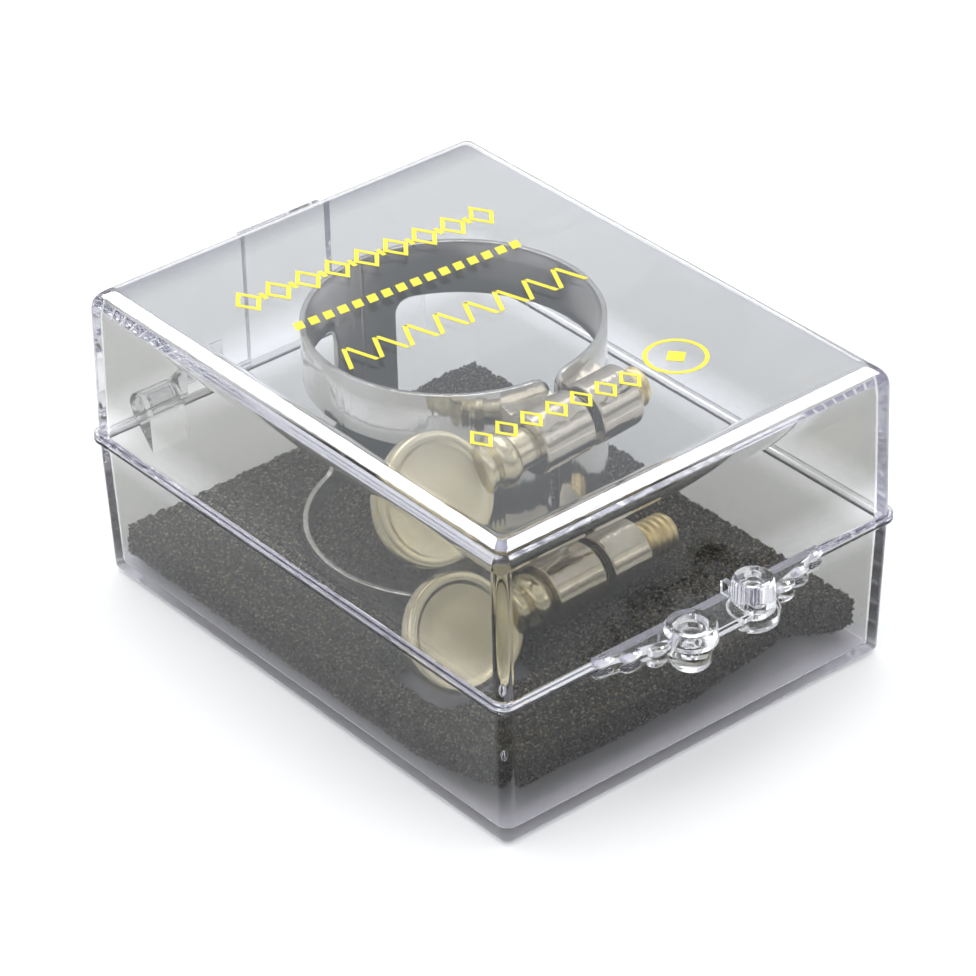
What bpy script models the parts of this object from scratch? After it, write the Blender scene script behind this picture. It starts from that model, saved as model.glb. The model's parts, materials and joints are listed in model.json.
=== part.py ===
"""Saxophone ligature standing on a foam pad in its clear hinged case.

Metres, +Z up. The origin is the centre of the case's footprint on its underside.
-Y is the clasp side of the case, +Y the hinge side.
"""
import math

import bmesh
import bpy
from mathutils import Matrix, Vector, geometry

MM = 0.001

# Case, all in millimetres
CASE_HALF_X = 22.25
CASE_HALF_Y = 28.70
BASE_DRAFT = 0.44
LID_DRAFT = 0.15
CASE_WALL = 1.2
CASE_FLOOR = 1.3
CASE_CORNER_R = 1.0
CASE_HEIGHT = 30.0
SEAM_Z = 14.6
SEAM_GAP = 0.14
RIM_OUT = 0.5
RIM_H = 0.42
LID_EDGE_R = 2.2
BASE_EDGE_R = 0.9
HINGE_PANEL_HALF_X = 4.6
HINGE_PANEL_OUT = 0.9

# Case hinge
HINGE_Y = 30.65
KNUCKLE_R = 1.25
HINGE_PIN_R = 0.62
HINGE_BORE_R = 0.70
LID_KNUCKLE_X = (8.0, 11.4)
BASE_KNUCKLE_X = (11.8, 15.8)

# Clasp studs and sockets
CLASP_X = 3.55
CLASP_Y = -31.0
STUD_R = 2.0
SOCKET_R = 2.4
PEG_R = 1.25
SOCKET_BORE_R = 1.55
BASE_STUD_LOW_Z = 12.0
BASE_SOCKET_LOW_Z = 13.2
LID_SOCKET_HIGH_Z = 16.3
LID_STUD_HIGH_Z = 17.8
GUSSET_T = 0.9

# Foam pad
FOAM_Z = (1.5, 5.4)
FOAM_OUTLINE = (
    (-20.3, 26.5), (20.4, 26.7), (20.4, -25.6), (15.8, -22.6), (9.3, -23.6),
    (4.0, -24.3), (-17.3, -24.3), (-18.8, -22.2), (-20.3, -15.0),
)

# Ligature band
BAND_X = 2.0
BAND_Y = 6.6
BAND_R = 13.67
BAND_T = 0.5
BAND_Z = (3.0, 26.6)
BAND_SLIT = 0.9
WINDOW_Z = (6.6, 21.2)
WINDOW_R = 1.6
RIGHT_WINDOW = (-40.0, 75.0)
LEFT_WINDOW = (105.0, 220.0)

# Posts and screws
POST_Y = -9.8
POST_R = 2.9
POST_BORE_R = 1.92
UPPER_Z = 23.3
LOWER_Z = 8.2
UPPER_SLOPE = 3.5
LOWER_SLOPE = 1.5
UPPER_PLAIN_X = (-3.4, 2.05)
UPPER_THREAD_X = (2.95, 7.6)
LOWER_PLAIN_X = (-2.7, 2.75)
LOWER_THREAD_X = (3.65, 8.1)
SHANK_R = 1.85
BEAD_R = 2.55
PADDLE_R = 5.45
PADDLE_T = 1.6
PADDLE_RIM = 0.85
PADDLE_DISH = 0.3
LOWER_PADDLE_X = -10.95
UPPER_PADDLE_X = -13.6
LOWER_TILT = 28.0
UPPER_TILT = 30.0
BEAD_END = 2.7
SHANK_LENGTH = 15.2


def clear_scene():
    for obj in list(bpy.data.objects):
        bpy.data.objects.remove(obj, do_unlink=True)


def material(name, rgb, metallic, roughness, alpha=1.0):
    mat = bpy.data.materials.new(name)
    mat.use_nodes = True
    shader = mat.node_tree.nodes["Principled BSDF"]
    shader.inputs["Base Color"].default_value = (*rgb, 1.0)
    shader.inputs["Metallic"].default_value = metallic
    shader.inputs["Roughness"].default_value = roughness
    shader.inputs["Alpha"].default_value = alpha
    mat.diffuse_color = (*rgb, alpha)
    return mat


def add_object(name, verts, faces, mat=None, origin=(0.0, 0.0, 0.0)):
    """Make an object from millimetre points, with its origin at a millimetre point."""
    shift = Vector(origin)
    mesh = bpy.data.meshes.new(name)
    mesh.from_pydata([(Vector(v) - shift) * MM for v in verts], [], faces)
    bm = bmesh.new()
    bm.from_mesh(mesh)
    bmesh.ops.remove_doubles(bm, verts=bm.verts, dist=1e-7)
    bmesh.ops.recalc_face_normals(bm, faces=bm.faces)
    bm.to_mesh(mesh)
    bm.free()
    obj = bpy.data.objects.new(name, mesh)
    obj.location = shift * MM
    bpy.context.collection.objects.link(obj)
    if mat:
        mesh.materials.append(mat)
    return obj


def combine(target, tool, operation):
    """Boolean one object into another, then discard the tool."""
    mod = target.modifiers.new("join", "BOOLEAN")
    mod.operation = operation
    mod.solver = "EXACT"
    mod.object = tool
    bpy.context.view_layer.update()
    graph = bpy.context.evaluated_depsgraph_get()
    mesh = bpy.data.meshes.new_from_object(target.evaluated_get(graph))
    target.modifiers.clear()
    target.data = mesh
    bpy.data.objects.remove(tool, do_unlink=True)


def finish(obj, mat, angle=35.0):
    """Give an object its one material and soften only its shallow edges."""
    mesh = obj.data
    mesh.name = obj.name
    mesh.materials.clear()
    mesh.materials.append(mat)
    for poly in mesh.polygons:
        poly.material_index = 0
        poly.use_smooth = True
    bm = bmesh.new()
    bm.from_mesh(mesh)
    for edge in bm.edges:
        edge.smooth = len(edge.link_faces) == 2 and edge.calc_face_angle() < math.radians(angle)
    bm.to_mesh(mesh)
    bm.free()


def rounded_loop(half_x, half_y, radius, z, steps=5):
    """Points round a rectangle with rounded corners, at one height."""
    points = []
    corners = ((1, 1, 0), (-1, 1, 90), (-1, -1, 180), (1, -1, 270))
    for sx, sy, start in corners:
        cx = sx * (half_x - radius)
        cy = sy * (half_y - radius)
        for i in range(steps + 1):
            a = math.radians(start + 90.0 * i / steps)
            points.append((cx + radius * math.cos(a), cy + radius * math.sin(a), z))
    return points


def loft(loops):
    """Skin a list of equal loops and cap the first and the last."""
    count = len(loops[0])
    verts = [p for loop in loops for p in loop]
    faces = [tuple(range(count))]
    for k in range(len(loops) - 1):
        for i in range(count):
            j = (i + 1) % count
            faces.append((k * count + i, k * count + j, (k + 1) * count + j, (k + 1) * count + i))
    last = (len(loops) - 1) * count
    faces.append(tuple(range(last, last + count)))
    return verts, faces


def turned(profile, centre, steps=24):
    """Revolve (x, radius) points about a line along X through centre; ends close to points."""
    loops = []
    for x, r in profile:
        loop = []
        for i in range(steps):
            a = 2.0 * math.pi * i / steps
            loop.append((x, centre[1] + r * math.cos(a), centre[2] + r * math.sin(a)))
        loops.append(loop)
    return loft(loops)


def upright(profile, x, y, steps=20):
    """Revolve (z, radius) points about a vertical line."""
    loops = []
    for z, r in profile:
        loop = []
        for i in range(steps):
            a = 2.0 * math.pi * i / steps
            loop.append((x + r * math.cos(a), y + r * math.sin(a), z))
        loops.append(loop)
    return loft(loops)


def prism(points, z0, z1):
    low = [(x, y, z0) for x, y in points]
    high = [(x, y, z1) for x, y in points]
    return loft([low, high])


def box(x0, x1, y0, y1, z0, z1):
    return prism(((x0, y0), (x1, y0), (x1, y1), (x0, y1)), z0, z1)


def side_prism(points, x0, x1):
    """Extrude a (y, z) outline along X."""
    near = [(x0, y, z) for y, z in points]
    far = [(x1, y, z) for y, z in points]
    return loft([near, far])


def half_at(z):
    """Outer half widths of the case at a height, with its moulding draft."""
    if z < SEAM_Z:
        inset = BASE_DRAFT * (SEAM_Z - z) / SEAM_Z
    else:
        inset = LID_DRAFT * (z - SEAM_Z) / (CASE_HEIGHT - SEAM_Z)
    return CASE_HALF_X - inset, CASE_HALF_Y - inset


def case_loop(z, inset=0.0, radius=CASE_CORNER_R):
    hx, hy = half_at(z)
    return rounded_loop(hx - inset, hy - inset, max(radius - inset, 0.5), z)


def tub_loops(end_z, end_sign, seam_z, edge_r, floor):
    """Loops of one case half: outside from its closed end to the seam, then back down inside."""
    loops = []
    for k in range(5):
        a = math.radians(90.0 - 22.5 * k)
        z = end_z + end_sign * edge_r * (1.0 - math.sin(a))
        loops.append(case_loop(z, edge_r * (1.0 - math.cos(a))))
    rim_z = seam_z - end_sign * RIM_H
    loops.append(case_loop(rim_z))
    loops.append(case_loop(rim_z, -RIM_OUT))
    loops.append(case_loop(seam_z, -RIM_OUT))
    loops.append(case_loop(seam_z, CASE_WALL))
    inner = max(edge_r - CASE_WALL, 0.4)
    stop = end_z + end_sign * floor
    for k in range(3):
        a = math.radians(45.0 * k)
        z = stop + end_sign * inner * (1.0 - math.sin(a))
        loops.append(case_loop(z, CASE_WALL + inner * (1.0 - math.cos(a))))
    return loops


def case_tub(name, end_z, end_sign, seam_z, edge_r, floor):
    verts, faces = loft(tub_loops(end_z, end_sign, seam_z, edge_r, floor))
    return add_object(name, verts, faces)


def add_solid(target, shape, operation="UNION"):
    combine(target, add_object("tool", *shape), operation)


def clasp_gusset(target, z0, z1):
    """Webs that run from the case wall out to the two studs."""
    wall = -CASE_HALF_Y + 0.4
    outline = (
        (-12.7, wall), (13.1, wall), (12.9, wall - 0.9), (6.2, CLASP_Y + 0.2),
        (4.6, CLASP_Y - 1.5), (-4.6, CLASP_Y - 1.5), (-6.2, CLASP_Y + 0.2), (-12.5, wall - 0.9),
    )
    add_solid(target, prism(outline, z0, z1))


def clasp_fins(target, x, z0, z1):
    """Two small upright ribs that hold a stud to the wall."""
    wall = -CASE_HALF_Y + 0.6
    for side in (-1, 1):
        x0 = x + side * 1.35 - 0.3
        outline = ((wall, z0), (CLASP_Y, z0), (CLASP_Y, z1), (wall, z1))
        add_solid(target, side_prism(outline, x0, x0 + 0.6))


def hinge_arm(target, x0, x1, up):
    """Tapered rib that carries a hinge knuckle on the case's back wall."""
    wall = CASE_HALF_Y - 0.6
    reach = SEAM_Z + up * 4.6
    seam = SEAM_Z + up * 0.1
    outline = ((wall, seam), (HINGE_Y, seam), (HINGE_Y + 0.9, SEAM_Z + up * 0.85), (wall, reach))
    add_solid(target, side_prism(outline, x0, x1))


def knuckle(target, x0, x1):
    centre = (0.0, HINGE_Y, SEAM_Z)
    add_solid(target, turned(((x0, KNUCKLE_R), (x1, KNUCKLE_R)), centre))


def build_base(mat):
    seam = SEAM_Z - SEAM_GAP / 2
    base = case_tub("case_base", 0.0, 1, seam, BASE_EDGE_R, CASE_FLOOR)
    clasp_gusset(base, seam - GUSSET_T, seam)
    low = BASE_STUD_LOW_Z
    post = ((low, STUD_R - 0.5), (low + 0.4, STUD_R - 0.2), (seam, STUD_R))
    add_solid(base, upright(post, -CLASP_X, CLASP_Y))
    peg = ((seam - 1.0, PEG_R), (SEAM_Z + 0.7, PEG_R), (SEAM_Z + 1.0, PEG_R - 0.25))
    add_solid(base, upright(peg, -CLASP_X, CLASP_Y))
    low = BASE_SOCKET_LOW_Z
    collar = ((low, SOCKET_R - 0.3), (low + 0.25, SOCKET_R - 0.1), (seam, SOCKET_R))
    add_solid(base, upright(collar, CLASP_X, CLASP_Y))
    bore = ((SEAM_Z - 0.9, SOCKET_BORE_R), (SEAM_Z + 1.0, SOCKET_BORE_R))
    add_solid(base, upright(bore, CLASP_X, CLASP_Y), "DIFFERENCE")
    clasp_fins(base, -CLASP_X, BASE_STUD_LOW_Z + 0.5, seam - 0.3)
    for side in (-1, 1):
        x0, x1 = sorted((side * BASE_KNUCKLE_X[0], side * BASE_KNUCKLE_X[1]))
        hinge_arm(base, x0, x1, -1)
        knuckle(base, x0, x1)
        bore_x = (x0 - 1.0, x1 - 0.8) if side > 0 else (x0 + 0.8, x1 + 1.0)
        bore = ((bore_x[0], HINGE_BORE_R), (bore_x[1], HINGE_BORE_R))
        add_solid(base, turned(bore, (0.0, HINGE_Y, SEAM_Z)), "DIFFERENCE")
    finish(base, mat)
    return base


def build_lid(mat):
    seam = SEAM_Z + SEAM_GAP / 2
    lid = case_tub("case_lid", CASE_HEIGHT, -1, seam, LID_EDGE_R, CASE_WALL)
    clasp_gusset(lid, seam, seam + GUSSET_T)
    high = LID_STUD_HIGH_Z
    post = ((seam, STUD_R), (high - 0.3, STUD_R - 0.2), (high, STUD_R - 0.45))
    add_solid(lid, upright(post, CLASP_X, CLASP_Y))
    dimple = ((high - 0.5, 0.55), (high + 0.5, 0.75))
    add_solid(lid, upright(dimple, CLASP_X, CLASP_Y), "DIFFERENCE")
    peg = ((SEAM_Z - 0.7, PEG_R - 0.2), (SEAM_Z - 0.5, PEG_R), (seam + 1.0, PEG_R))
    add_solid(lid, upright(peg, CLASP_X, CLASP_Y))
    high = LID_SOCKET_HIGH_Z
    collar = ((seam, SOCKET_R), (high - 0.3, SOCKET_R - 0.1), (high, SOCKET_R - 0.4))
    add_solid(lid, upright(collar, -CLASP_X, CLASP_Y))
    bore = ((SEAM_Z - 1.0, SOCKET_BORE_R), (SEAM_Z + 1.2, SOCKET_BORE_R))
    add_solid(lid, upright(bore, -CLASP_X, CLASP_Y), "DIFFERENCE")
    clasp_fins(lid, CLASP_X, seam + 0.3, LID_STUD_HIGH_Z - 0.9)
    half = HINGE_PANEL_HALF_X
    panel = box(-half, half, CASE_HALF_Y - 0.9, CASE_HALF_Y + HINGE_PANEL_OUT, seam, CASE_HEIGHT - 1.5)
    add_solid(lid, panel)
    for side in (-1, 1):
        x0, x1 = sorted((side * LID_KNUCKLE_X[0], side * LID_KNUCKLE_X[1]))
        hinge_arm(lid, x0, x1, 1)
        knuckle(lid, x0, x1)
        pin_x = (x1 - 1.0, x1 + 3.2) if side > 0 else (x0 - 3.2, x0 + 1.0)
        pin = ((pin_x[0], HINGE_PIN_R), (pin_x[1], HINGE_PIN_R))
        add_solid(lid, turned(pin, (0.0, HINGE_Y, SEAM_Z)))
    finish(lid, mat)
    lid_origin(lid)
    return lid


def lid_origin(lid):
    """Put the lid's origin on the hinge axis."""
    pivot = Vector((0.0, HINGE_Y, SEAM_Z)) * MM
    lid.data.transform(Matrix.Translation(-pivot))
    lid.location = pivot


def build_foam(mat):
    pad = add_object("foam_pad", *prism(FOAM_OUTLINE, *FOAM_Z))
    axis = (0.0, POST_Y, LOWER_Z)
    bed = ((LOWER_PLAIN_X[0] - 3.6, POST_R + 0.3), (LOWER_THREAD_X[1] + 0.5, POST_R + 0.3))
    add_solid(pad, turned(bed, axis), "DIFFERENCE")
    left = LOWER_PADDLE_X - PADDLE_R - 0.35
    right = LOWER_PADDLE_X + PADDLE_R + 0.2
    reach = math.sqrt((PADDLE_R + 0.35) ** 2 - (LOWER_Z - FOAM_Z[1]) ** 2)
    slot = box(left, right, POST_Y - reach, POST_Y + reach, 0.0, 8.0)
    add_solid(pad, slot, "DIFFERENCE")
    outer = BAND_R + 0.35
    inner = BAND_R - BAND_T - 0.35
    groove = ring_tool(inner, outer, FOAM_Z[0] + 0.5, FOAM_Z[1] + 1.0)
    add_solid(pad, groove, "DIFFERENCE")
    finish(pad, mat, 30.0)
    return pad


def ring_tool(inner, outer, z0, z1, steps=60):
    """Closed ring used to cut the band's seat in the foam, as (points, faces)."""
    verts = []
    for i in range(steps):
        a = 2.0 * math.pi * i / steps
        for r, z in ((inner, z0), (outer, z0), (outer, z1), (inner, z1)):
            verts.append((BAND_X + r * math.cos(a), BAND_Y + r * math.sin(a), z))
    faces = []
    for i in range(steps):
        j = (i + 1) % steps
        for k in range(4):
            m = (k + 1) % 4
            faces.append((i * 4 + k, i * 4 + m, j * 4 + m, j * 4 + k))
    return verts, faces


def window_loop(start, end, low, high, radius):
    """Points round one window in the unrolled band, in (degrees, z)."""
    step = math.degrees(radius / BAND_R)
    points = []
    corners = (
        (end - step, high - radius, 0), (start + step, high - radius, 90),
        (start + step, low + radius, 180), (end - step, low + radius, 270),
    )
    for ca, cz, turn in corners:
        for i in range(5):
            a = math.radians(turn + 22.5 * i)
            points.append((ca + step * math.cos(a), cz + radius * math.sin(a)))
    return points


def densify(loop, spacing=6.0):
    """Split the long runs of a closed unrolled loop so that it bends smoothly."""
    out = []
    for i, (a0, z0) in enumerate(loop):
        a1, z1 = loop[(i + 1) % len(loop)]
        parts = max(1, int(math.ceil(abs(a1 - a0) / spacing)))
        for k in range(parts):
            out.append((a0 + (a1 - a0) * k / parts, z0 + (z1 - z0) * k / parts))
    return out


def band_loops():
    gap = math.degrees(BAND_SLIT / 2 / BAND_R)
    low, high = BAND_Z
    start, end = -90.0 + gap, 270.0 - gap
    corner = math.degrees(0.9 / BAND_R)
    outline = [
        (start, low + 0.9), (start + corner * 0.3, low + 0.27), (start + corner, low),
        (end - corner, low), (end - corner * 0.3, low + 0.27), (end, low + 0.9),
        (end, high - 0.9), (end - corner * 0.3, high - 0.27), (end - corner, high),
        (start + corner, high), (start + corner * 0.3, high - 0.27), (start, high - 0.9),
    ]
    holes = [window_loop(*span, *WINDOW_Z, WINDOW_R) for span in (RIGHT_WINDOW, LEFT_WINDOW)]
    return [densify(outline)] + holes


def add_columns(points, edges, count):
    """Tie the band's lower edge to its upper edge, so that no triangle spans a wide angle."""
    rows = range(count)
    low = {round(points[i].x, 3): i for i in rows if abs(points[i].y - BAND_Z[0]) < 1e-3}
    high = {round(points[i].x, 3): i for i in rows if abs(points[i].y - BAND_Z[1]) < 1e-3}
    edges += [(low[x], high[x]) for x in low if x in high]


def in_window(a, z):
    low, high = WINDOW_Z
    spans = (RIGHT_WINDOW, LEFT_WINDOW)
    return low < z < high and any(s < a < e for s, e in spans)


def band_sheet():
    """Triangulate the unrolled band: its points in (mm along the arc, z) and its triangles."""
    points, edges = [], []
    for loop in band_loops():
        first = len(points)
        points += [Vector((math.radians(a) * BAND_R, z)) for a, z in loop]
        edges += [(first + i, first + (i + 1) % len(loop)) for i in range(len(loop))]
    add_columns(points, edges, len(band_loops()[0]))
    result = geometry.delaunay_2d_cdt(points, edges, [], 1, 1e-5)
    flat, tris = result[0], result[2]
    keep = []
    for tri in tris:
        centre = sum((flat[i] for i in tri), Vector((0.0, 0.0))) / 3.0
        if not window_holds(centre):
            keep.append(tri)
    return flat, keep


def window_holds(point):
    """True where an unrolled point is inside a window, rounded corners included."""
    a = math.degrees(point.x / BAND_R)
    if not in_window(a, point.y):
        return False
    for start, end in (RIGHT_WINDOW, LEFT_WINDOW):
        loop = window_loop(start, end, *WINDOW_Z, WINDOW_R)
        if start < a < end and point_in_loop(a, point.y, loop):
            return True
    return False


def point_in_loop(a, z, loop):
    inside = False
    for i, (a0, z0) in enumerate(loop):
        a1, z1 = loop[(i + 1) % len(loop)]
        if (z0 > z) != (z1 > z) and a < (a1 - a0) * (z - z0) / (z1 - z0) + a0:
            inside = not inside
    return inside


def wrap(point, inset):
    """Roll an unrolled point round the band's axis."""
    a = point.x / BAND_R
    r = BAND_R - inset
    return (BAND_X + r * math.cos(a), BAND_Y + r * math.sin(a), point.y)


def build_band(mat):
    flat, tris = band_sheet()
    count = len(flat)
    verts = [wrap(p, 0.0) for p in flat] + [wrap(p, BAND_T) for p in flat]
    faces = [tuple(t) for t in tris]
    faces += [tuple(i + count for i in reversed(t)) for t in tris]
    seen = {}
    for tri in tris:
        for k in range(3):
            pair = (tri[k], tri[(k + 1) % 3])
            seen[pair] = True
    for i, j in seen:
        if (j, i) not in seen:
            faces.append((j, i, i + count, j + count))
    band = add_object("ligature_band", verts, faces)
    finish(band, mat, 30.0)
    return band


def slope_about(verts, z, degrees):
    """Tip points about the middle of a screw line, its +X end up."""
    pivot = Vector((BAND_X, POST_Y, z))
    turn = Matrix.Rotation(math.radians(-degrees), 3, "Y")
    return [tuple(turn @ (Vector(v) - pivot) + pivot) for v in verts]


def sloped(shape, z, degrees):
    verts, faces = shape
    return slope_about(verts, z, degrees), faces


def build_post(name, x_span, z, slope, mat):
    """Barrel post with a foot shaped to the band; bored for the screw."""
    x0, x1 = x_span
    centre = (0.0, POST_Y, z)
    c = 0.25
    barrel = ((x0, POST_R - c), (x0 + c, POST_R), (x1 - c, POST_R), (x1, POST_R - c))
    post = add_object(name, *sloped(turned(barrel, centre, 28), z, slope))
    foot = box(x0 + 0.4, x1 - 0.4, POST_Y, -5.0, z - 1.8, z + 1.8)
    add_solid(post, sloped(foot, z, slope))
    saddle = BAND_R + 0.06
    add_solid(post, upright(((z - 6.0, saddle), (z + 6.0, saddle)), BAND_X, BAND_Y, 120), "DIFFERENCE")
    bore = ((x0 - 1.0, POST_BORE_R), (x1 + 1.0, POST_BORE_R))
    add_solid(post, sloped(turned(bore, centre), z, slope), "DIFFERENCE")
    finish(post, mat)
    return post


def screw_profile(paddle_x):
    """(x, radius) points of a screw from the head's fork to the threaded tip."""
    rim = paddle_x + PADDLE_R
    bead = rim + BEAD_END
    tip = bead + SHANK_LENGTH
    return (
        (rim - 1.1, 2.0), (rim - 0.8, 2.25), (rim + 0.1, 1.75), (rim + 0.4, 1.7), (rim + 0.6, 2.2),
        (rim + 1.0, BEAD_R - 0.08), (rim + 1.7, BEAD_R), (bead - 0.5, BEAD_R - 0.1),
        (bead - 0.15, 2.25), (bead, 1.95), (bead, SHANK_R), (tip - 0.4, SHANK_R), (tip, SHANK_R - 0.4),
    )


def paddle_tool(x, z, tilt, grow):
    """Plain coin in the paddle's plane, used to slot the screw's head."""
    verts, faces = coin(PADDLE_R + grow, PADDLE_T / 2 + grow, PADDLE_T / 2 + grow)
    return place_coin(verts, x, z, tilt), faces


def coin(radius, half_rim, half_face, steps=48):
    """Coin on the Z axis: dished faces inside a raised rim."""
    inner = radius - PADDLE_RIM
    profile = (
        (inner - 0.35, half_face), (inner, half_rim), (radius - 0.2, half_rim), (radius, half_rim - 0.2),
        (radius, -half_rim + 0.2), (radius - 0.2, -half_rim), (inner, -half_rim), (inner - 0.35, -half_face),
    )
    loops = []
    for r, h in profile:
        ring = range(steps)
        loops.append([(r * math.cos(2 * math.pi * i / steps), r * math.sin(2 * math.pi * i / steps), h) for i in ring])
    return loft(loops)


def place_coin(verts, x, z, tilt):
    """Stand a coin on edge with the screw's axis in its plane, its top leant back by tilt."""
    turn = Matrix.Rotation(math.radians(-tilt), 3, "X") @ Matrix.Rotation(math.radians(90.0), 3, "X")
    return [tuple(turn @ Vector(v) + Vector((x, POST_Y, z))) for v in verts]


def build_screw(prefix, paddle_x, z, tilt, slope, mat):
    centre = (0.0, POST_Y, z)
    pivot = (BAND_X, POST_Y, z)
    verts, faces = sloped(turned(screw_profile(paddle_x), centre), z, slope)
    screw = add_object(prefix + "_screw", verts, faces, None, pivot)
    add_solid(screw, sloped(paddle_tool(paddle_x, z, tilt, 0.06), z, slope), "DIFFERENCE")
    finish(screw, mat)
    verts, faces = coin(PADDLE_R, PADDLE_T / 2, PADDLE_T / 2 - PADDLE_DISH)
    verts = slope_about(place_coin(verts, paddle_x, z, tilt), z, slope)
    paddle = add_object(prefix + "_paddle", verts, faces, None, pivot)
    finish(paddle, mat, 25.0)


def build():
    clear_scene()
    clear = material("clear_plastic", (0.86, 0.87, 0.92), 0.0, 0.05, 0.3)
    foam = material("foam", (0.06, 0.055, 0.055), 0.0, 0.95)
    nickel = material("nickel_plate", (0.72, 0.70, 0.66), 1.0, 0.14)
    screw_metal = material("screw_nickel", (0.70, 0.66, 0.58), 1.0, 0.18)
    build_base(clear)
    build_lid(clear)
    build_foam(foam)
    build_band(nickel)
    build_post("upper_plain_post", UPPER_PLAIN_X, UPPER_Z, UPPER_SLOPE, nickel)
    build_post("upper_threaded_post", UPPER_THREAD_X, UPPER_Z, UPPER_SLOPE, nickel)
    build_post("lower_plain_post", LOWER_PLAIN_X, LOWER_Z, LOWER_SLOPE, nickel)
    build_post("lower_threaded_post", LOWER_THREAD_X, LOWER_Z, LOWER_SLOPE, nickel)
    build_screw("upper", UPPER_PADDLE_X, UPPER_Z, UPPER_TILT, UPPER_SLOPE, screw_metal)
    build_screw("lower", LOWER_PADDLE_X, LOWER_Z, LOWER_TILT, LOWER_SLOPE, screw_metal)


build()
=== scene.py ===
"""Saxophone ligature standing on a foam pad in its clear hinged case: the visual model.

Lengths are in millimetres in the code and become metres when a mesh is made.
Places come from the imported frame: node boxes, and the joints in the record.
"""
import json
import math
import random

import bmesh
import bpy
from mathutils import Matrix, Vector, noise


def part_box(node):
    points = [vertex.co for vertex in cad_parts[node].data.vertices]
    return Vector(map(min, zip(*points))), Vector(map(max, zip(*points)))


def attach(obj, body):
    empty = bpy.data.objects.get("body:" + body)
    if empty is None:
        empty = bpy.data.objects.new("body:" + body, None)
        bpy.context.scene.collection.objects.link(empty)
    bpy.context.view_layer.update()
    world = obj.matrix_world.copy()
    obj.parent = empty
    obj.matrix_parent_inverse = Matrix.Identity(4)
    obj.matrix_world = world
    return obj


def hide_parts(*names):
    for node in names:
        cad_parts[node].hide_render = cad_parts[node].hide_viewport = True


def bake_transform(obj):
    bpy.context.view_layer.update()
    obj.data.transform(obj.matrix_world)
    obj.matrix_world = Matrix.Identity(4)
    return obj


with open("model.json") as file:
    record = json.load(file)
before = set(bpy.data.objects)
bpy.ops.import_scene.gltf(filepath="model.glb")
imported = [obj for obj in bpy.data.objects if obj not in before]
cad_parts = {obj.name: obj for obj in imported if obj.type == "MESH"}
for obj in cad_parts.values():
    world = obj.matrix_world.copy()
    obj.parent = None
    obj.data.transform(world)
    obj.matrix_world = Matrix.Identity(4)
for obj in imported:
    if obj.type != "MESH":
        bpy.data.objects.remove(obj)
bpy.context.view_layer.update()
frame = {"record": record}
MM = 0.001

JOINTS = {j["name"]: j for j in frame["record"]["behaviour"]["joints"]}
ROOT = "case_and_band"
LID = "lid"
FREE_END = "free_end"

# Case
CASE_HALF_Y = 28.70
BASE_DRAFT = 0.44
LID_DRAFT = 0.15
CASE_WALL = 1.2
CASE_FLOOR = 1.3
CASE_CORNER_R = 1.0
SEAM_GAP = 0.14
RIM_OUT = 0.5
RIM_H = 0.34
LID_EDGE_R = 2.2
BASE_EDGE_R = 0.9
INNER_CORNER_R = 0.55
INNER_EDGE_R = 0.25
PANEL_HALF_X = 4.6
PANEL_OUT = 0.9
KNUCKLE_R = 1.25
HINGE_PIN_R = 0.62
HINGE_BORE_R = 0.70
LID_KNUCKLE_X = (8.0, 11.4)
BASE_KNUCKLE_X = (11.8, 15.8)
CLASP_X = 3.55
CLASP_Y = -31.0
STUD_R = 2.0
SOCKET_R = 2.4
PEG_R = 1.25
SOCKET_BORE_R = 1.55
BASE_STUD_LOW_Z = 12.0
BASE_SOCKET_LOW_Z = 13.2
LID_SOCKET_HIGH_Z = 16.3
LID_STUD_HIGH_Z = 17.8
GUSSET_T = 0.9

# Ligature
BAND_T = 0.5
BAND_SLIT = 0.9
WINDOW_Z = (6.6, 21.2)
WINDOW_R = 1.6
BAND_CORNER_R = 1.5
RIGHT_WINDOW = (-40.0, 75.0)
LEFT_WINDOW = (105.0, 220.0)
POST_R = 2.9
POST_BORE_R = 1.92
POST_LIP_R = 0.22
SHANK_R = 1.85
THREAD_DEPTH = 0.22
THREAD_PITCH = 0.7
BEAD_R = 2.55
PADDLE_R = 5.45
PADDLE_T = 1.6
PADDLE_RIM = 0.85
PADDLE_DISH = 0.3
BEAD_END = 2.7
SHANK_LENGTH = 15.2
SHANK_STEPS = 72
LOWER_TILT = 28.0
UPPER_TILT = 30.0

# Foam
FOAM_UNDERCUT = 1.0
FOAM_VOXEL = 0.24
# Centre of the painted shade on the foam inside the ring.
RING_SHADE_AT = (-2.5, -1.5)
FOAM_OUTLINE = (
    (-20.3, 26.5), (20.4, 26.7), (20.4, -25.6), (15.8, -22.6), (9.3, -23.6),
    (4.0, -24.3), (-17.3, -24.3), (-18.8, -22.2), (-20.3, -15.0),
)

# Colours of the clear plastic, as linear RGB. They are painted light and shade, as the real plastic is
# colourless.
# Painted shade: the walls are darkened and the top, seam and bottom kept clearer, standing for the shadowed
# surroundings seen through the plastic.
WALL_PAINTED_SHADE = (0.60, 0.60, 0.585)
SEAM_TINT = (0.97, 0.97, 0.98)
BOTTOM_TINT = (0.93, 0.92, 0.99)
TOP_TINT = (0.90, 0.91, 0.97)
# Painted shade: dims the lid's top edges on the far x and far y sides.
FAR_EDGE_PAINTED_SHADE = (0.16, 0.15, 0.19)

BLACK = (0.0, 0.0, 0.0)
WHITE = (1.0, 1.0, 1.0)


def box_mm(node):
    """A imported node's box corners in millimetres."""
    low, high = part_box(node)
    return Vector(low) / MM, Vector(high) / MM


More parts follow.
